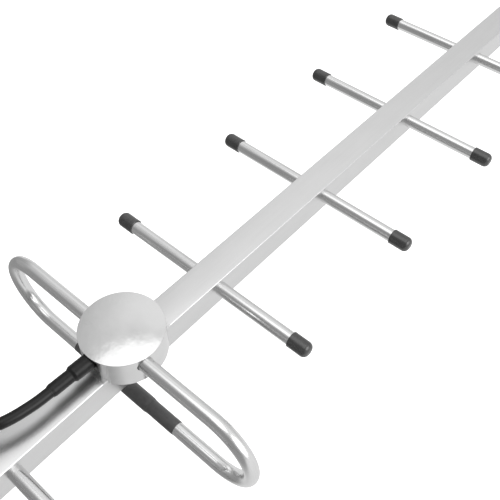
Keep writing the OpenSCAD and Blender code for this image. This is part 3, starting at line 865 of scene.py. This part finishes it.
def make_u_bolt():
    """One bar: two threaded legs and a half circle behind the mast."""
    box_high = high("u_bolt")
    r = BOLT_R * MM
    bend = box_high.x - r
    leg = box_high.y
    thread = 24 * MM
    pitch, depth, runout, bevel = 1.0 * MM, 0.5 * MM, 1.5 * MM, 0.7 * MM
    rows_per_pitch = 6
    sides = 32
    count = int(round(thread / pitch * rows_per_pitch))
    right = [Vector((bend, leg - thread * i / count, 0)) for i in range(count + 1)]
    right += [Vector((bend, (leg - thread) * (1 - i / 4), 0)) for i in range(1, 5)]
    turn = [Vector((bend * cos(pi * k / 64), -bend * sin(pi * k / 64), 0)) for k in range(1, 64)]
    left = [Vector((-p.x, p.y, p.z)) for p in right[::-1]]
    line = right + turn + left
    last = len(line) - 1

    def section(i, angle):
        j = min(i, last - i)
        if j > count:
            return r
        from_tip = j * thread / count
        fade = min(1.0, (thread - from_tip) / runout)
        hand = 1 if i < last - i else -1
        wave = abs(((from_tip / pitch + hand * angle / (2 * pi)) % 1.0) * 2 - 1)
        return min(r - depth * fade * wave, r - max(0.0, bevel - from_tip))

    piece("u_bolt_bar", skin(sweep(line, section, sides, (0, 0, 1))), ZINC, "u_bolt", ["u_bolt"],
          along_line(line), sharp=24)


def make_clamp_fasteners():
    """Washers, nuts and bolts of the clamp, each where its CAD node is."""
    for node in ("u_bolt_nut_right", "u_bolt_nut_left"):
        at = middle(node)
        shape = turned(nut_shape(NUT_AF, BOLT_R + NUT_PLAY, size(node).y / MM),
                       (at.x, low(node).y, at.z), (0, 1, 0))
        piece(node + "_hex", shape, ZINC, node, [node], axis_flow("y"), sharp=28)
    side = high("u_bolt_washers").x - WASHER_R * MM
    washer = washer_shape(WASHER_R, BOLT_R + U_BOLT_WASHER_PLAY, WASHER_THICK)
    washers = [turned(washer, (x, low("u_bolt_washers").y, 0), (0, 1, 0)) for x in (-side, side)]
    piece("u_bolt_washer_pair", joined(*washers), ZINC, "mast_mount", ["u_bolt_washers"],
          axis_flow("x"))
    for name, body in (("pivot", "mast_mount"), ("lock", "antenna")):
        y = middle(name + "_bolt").y
        start = low(name + "_bolt").x + BOLT_HEAD * MM
        shank = (high(name + "_bolt").x - start) / MM
        bolt = bolt_shape(NUT_AF, BOLT_R, BOLT_HEAD, shank, shank - BOLT_THREAD)
        shape = turned(bolt, (start, y, 0), (1, 0, 0))
        piece(name + "_bolt_hex", shape, ZINC, body, [name + "_bolt"], axis_flow("x"),
              sharp=28)
        pair = name + "_washers"
        washer = washer_shape(WASHER_R, BOLT_R, WASHER_THICK)
        shapes = [turned(washer, (x, y, 0), (1, 0, 0))
                  for x in (low(pair).x, high(pair).x - WASHER_THICK * MM)]
        piece(name + "_washer_pair", joined(*shapes), ZINC, body, [pair],
              axis_flow("y"))
    node = "pivot_nut"
    nut = nut_shape(NUT_AF, BOLT_R, size(node).x / MM)
    shape = turned(nut, (low(node).x, middle(node).y, 0), (1, 0, 0))
    piece("pivot_nut_hex", shape, ZINC, "mast_mount", [node], axis_flow("x"), sharp=28)


def make_wing_nut():
    """A cast nut whose two wings lean out from its collar."""
    node = "lock_wing_nut"
    base = Vector((low(node).x + WING_NUT_LIFT * MM, middle(node).y, 0))
    collar = fillet([(3.05, 0.3), (3.4, 0), (5.2, 0), (4.4, 7), (3.4, 7), (3.05, 6.7)],
                    [0, 0, 0.4, 0.6, 0, 0], 4)
    shapes = [turned(lathe(collar, 64, loop=True), base, (1, 0, 0))]
    # A wing's rows: its place across and up from the collar's foot, its height and its thickness.
    spine = [(4.2, 3.6, 2.1, 1.1), (5.4, 4.7, 2.4, 1.0), (6.8, 5.9, 2.5, 0.95), (8.2, 7.1, 2.5, 0.9),
             (9.4, 7.9, 2.0, 0.85), (10.3, 8.3, 1.2, 0.7), (10.75, 8.5, 0.3, 0.3)]
    for side in (-1, 1):
        rows = []
        for across, up, tall, thick in spine:
            row = []
            for k in range(24):
                a = 2 * pi * k / 24
                row.append(base + Vector((
                    (up - 0.2 + tall * cos(a) * 0.8) * MM, side * (across - tall * cos(a) * 0.45) * MM,
                    thick * sin(a) * MM)))
            rows.append(row)
        shapes.append(skin(rows))
    piece("lock_wing_nut_cast", joined(*shapes), ZINC, "lock_wing_nut", [node],
          axis_flow("x"), sharp=35)


# ---- Socket on the cable ----

def make_socket():
    """The crimped ferrule, and the body with its neck, hexagon and thread. The insulator and the
    contact stay CAD nodes."""
    x, y = middle("socket_contact").x, middle("socket_contact").y
    top = low("socket_crimp").z
    up, down = (0, 0, 1), (0, 0, -1)

    sides = 48
    crimp_len = (high("socket_crimp").z - top) / MM
    crimp_r, crimp_af, pinch, bevel, bevel_len = 3.6, 7.2, 0.28, 0.25, 0.4
    rows = []
    for z in np.arange(0, crimp_len + 0.01, 0.25):
        worn = bevel * max(0.0, 1 - min(z, crimp_len - z) / bevel_len)
        radius = (crimp_r - worn) * MM
        if 8 < z < crimp_len - 4 and z % 2.5 < 1.4:
            radius = hexagon((crimp_af - pinch - worn) * MM, 0.92)
        rows.append(ring(radius, z * MM, sides))
    rows += [ring(CABLE_DIAMETER / 2, z * MM, sides) for z in (crimp_len, 0)]
    crimp = piece("socket_crimp_ferrule", turned(skin(rows, loop=True), (x, y, top), up), NICKEL,
                  "antenna", ["socket_crimp"], round_flow((x, y, top), down))

    sides = 96
    neck_h, hex_h, thread_h, relief = 4, 6.5, 11, 0.6
    hex_af, relief_r, thread_r, pitch = 16, 7.0, 7.94, 1.058
    base = neck_h + hex_h
    end = base + thread_h
    neck = [(3.4, 0), (4.9, 0), (5.2, 0.3), (5.2, 1.2), (4.8, 1.5), (4.8, 2.3), (5.2, 2.6),
            (5.2, neck_h)]
    rows = [ring(r * MM, h * MM, sides) for r, h in neck]
    rows += hex_rows(hex_af, neck_h, base, sides)
    rows += [ring(relief_r * MM, h * MM, sides) for h in (base, base + relief)]
    rows += thread_rows(thread_r, base + relief, end, pitch, sides=sides, runout=relief)
    mouth_r, bore_r, hole_r, bore_end = 4.75, 4.3, 3.5, end - 9.5
    inside = [(6.9, end), (mouth_r, end), (bore_r, end - 0.45), (bore_r, bore_end),
              (hole_r, bore_end), (hole_r, 1.0), (3.4, 1.0)]
    rows += [ring(r * MM, h * MM, sides) for r, h in inside]
    body = piece("socket_body_nickel", turned(skin(rows, loop=True), (x, y, top), down), NICKEL,
                 "antenna", ["socket_body"], round_flow((x, y, top), down), sharp=28)
    return [crimp, body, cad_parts["socket_insulator"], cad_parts["socket_contact"]]


# ---- CAD nodes that stay ----

def dress_cad_nodes():
    """The material of each CAD node that is shown as it is, and the bevel of its edges."""
    looks = {
        "mast_bracket": (ZINC_SHEET, 0.35), "mast_saddle": (CAST, 0.6),
        "feed_foot_plate": (SATIN_PLATE, 0.2), "feed_insulator": (MOULDED_GREY, 0),
        "feed_insert": (BRASS, 0), "feed_screw": (ZINC_SHEET, 0.15),
        "terminal_lugs": (BRASS, 0), "terminal_screws": (ZINC_SHEET, 0),
        "coax_conductor": (BRASS, 0), "coax_braid": (ZINC_SHEET, 0),
        "dipole_joint_pin": (ZINC_SHEET, 0),
        "socket_insulator": (PTFE, 0.1), "socket_contact": (BRASS, 0),
    }
    for node, (material, edge) in looks.items():
        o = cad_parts[node]
        o.data.materials.clear()
        o.data.materials.append(material)
        if edge:
            rounding = o.modifiers.new("edges", "BEVEL")
            rounding.width, rounding.segments = edge * MM, 3
            rounding.limit_method, rounding.angle_limit = "ANGLE", radians(40)


make_boom()
make_plug("boom_plug_front", high("boom_plug_front").y, -1)
make_plug("boom_plug_rear", low("boom_plug_rear").y, 1)
RODS = ["reflector"] + [f"director_{i}" for i in range(1, 8)]
for seed, rod in enumerate(RODS):
    make_rod(rod, seed * 3.1)
    make_caps(rod, seed * 1.7)
dipole_half(1)
dipole_half(-1)
make_run_sleeves()
make_feed_cover()
make_u_bolt()
make_clamp_fasteners()
make_wing_nut()
dress_cad_nodes()
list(make_cable_sleeves())
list(make_socket())


# ---- Floor, light and surroundings ----

FLOOR_DROP = 0.06


def mixed(tree, amount, first, second):
    """The first value where amount is 0, the second where it is 1."""
    return add_node(tree, "Mix", {0: amount, 2: first, 3: second}).outputs[0]


def times(tree, first, second):
    return add_node(tree, "Math", {0: first, 1: second}, operation="MULTIPLY").outputs[0]


def dot(tree, first, second):
    inputs = {0: first, 1: second}
    return add_node(tree, "VectorMath", inputs, operation="DOT_PRODUCT").outputs["Value"]


def curve_of(tree, value, points):
    """A value led through a curve of (in, out) points."""
    made = add_node(tree, "FloatCurve", {"Value": value})
    curve = made.mapping.curves[0]
    while len(curve.points) < len(points):
        curve.points.new(0, 0)
    for point, place in zip(curve.points, points):
        point.location = place
    made.mapping.update()
    return made.outputs[0]


def between(tree, value, start, stop):
    """0 below start and 1 above stop, with a soft step between them."""
    return add_node(tree, "MapRange", {
        "Value": value, "From Min": start, "From Max": stop,
    }, interpolation_type="SMOOTHSTEP").outputs["Result"]


# How bright the camera itself sees the floor and the surroundings.
FLOOR_SEEN, STUDIO_SEEN = 1.2, 1.1
# How bright reflections see the floor along FLOOR_AXIS, from the first place of FLOOR_SPAN (0), to
# the rear left, to the last one (1), to the front right. The span is in metres.
FLOOR_AXIS = (0.45, 0.89, 0)
FLOOR_SPAN = (-0.1, 0.4)
FLOOR_GLOW = [(0.0, 0.0), (0.15, 0.03), (0.31, 0.24), (0.42, 0.42), (0.58, 0.47), (0.67, 0.49),
              (0.86, 0.5), (1.0, 0.51)]


def make_floor():
    """A pale floor, evenly bright to the camera. Reflections see FLOOR_GLOW on it."""
    mesh = bpy.data.meshes.new("floor")
    half, z = 6.0, cad_bounds[0].z - FLOOR_DROP
    mesh.from_pydata([(-half, -half, z), (half, -half, z), (half, half, z), (-half, half, z)], [],
                     [(0, 1, 2, 3)])
    floor = bpy.data.objects.new("floor", mesh)
    bpy.context.scene.collection.objects.link(floor)
    n = Nodes("pale_floor")
    n.fix("Base Color", (0.35, 0.35, 0.35, 1))
    n.fix("Roughness", 0.95)
    n.fix("Specular IOR Level", 0.1)
    n.fix("Emission Color", (1, 1, 1, 1))
    across = dot(n.tree, n.add("TexCoord").outputs["Object"], FLOOR_AXIS)
    reflected = curve_of(n.tree, n.spread(across, 0, 1, *FLOOR_SPAN), FLOOR_GLOW)
    seen = n.add("LightPath").outputs["Is Camera Ray"]
    n.link("Emission Strength", mixed(n.tree, seen, reflected, FLOOR_SEEN))
    mesh.materials.append(n.material)


# How bright the tent is from straight behind the antenna (0) to straight ahead of it (1).
TENT = [(0.0, 0.34), (0.08, 0.31), (0.17, 0.32), (0.25, 0.43), (0.37, 0.56), (0.5, 0.64), (0.57, 0.7),
        (0.65, 0.83), (0.76, 0.93), (0.83, 0.88), (0.88, 0.77), (0.94, 0.7), (1.0, 0.64)]
# How bright the tent's far left, the rim round the overhead light, that light and the side light are.
TENT_LEFT, RIM, OVERHEAD, BESIDE = 0.42, 0.3, 1.5, 3.0
RIM_SHARE = 0.25
BESIDE_DIRECTION = (0.87, 0.12, 0.48)


def make_world():
    """A studio tent, dim behind the antenna and to the left, with a soft light over it, a faintly
    dimmer rim round that light, and a light beside it. The overhead light ends at the left."""
    world = bpy.data.worlds.new("studio")
    bpy.context.scene.world = world
    world.use_nodes = True
    tree = world.node_tree
    direction = add_node(tree, "TexCoord").outputs["Generated"]
    split = add_node(tree, "SeparateXYZ", {0: direction}).outputs
    ahead = add_node(tree, "MapRange", {"Value": split["Y"], "From Min": -1}).outputs["Result"]
    lit = mixed(tree, between(tree, split["X"], -0.5, -0.95), curve_of(tree, ahead, TENT), TENT_LEFT)
    lit = mixed(tree, times(tree, between(tree, split["Z"], 0.83, 0.86), RIM_SHARE), lit, RIM)
    over = times(tree, between(tree, split["Z"], 0.88, 0.905), between(tree, split["X"], -0.46, -0.41))
    lit = mixed(tree, over, lit, OVERHEAD)
    beam = between(tree, dot(tree, direction, BESIDE_DIRECTION), 0.88, 0.96)
    lit = mixed(tree, beam, lit, BESIDE)
    seen = add_node(tree, "LightPath").outputs["Is Camera Ray"]
    strength = mixed(tree, seen, lit, STUDIO_SEEN)
    background = tree.nodes["Background"]
    background.inputs["Color"].default_value = (1, 1, 1, 1)
    tree.links.new(strength, background.inputs["Strength"])


make_floor()
make_world()
bpy.context.scene.view_settings.view_transform = "Standard"
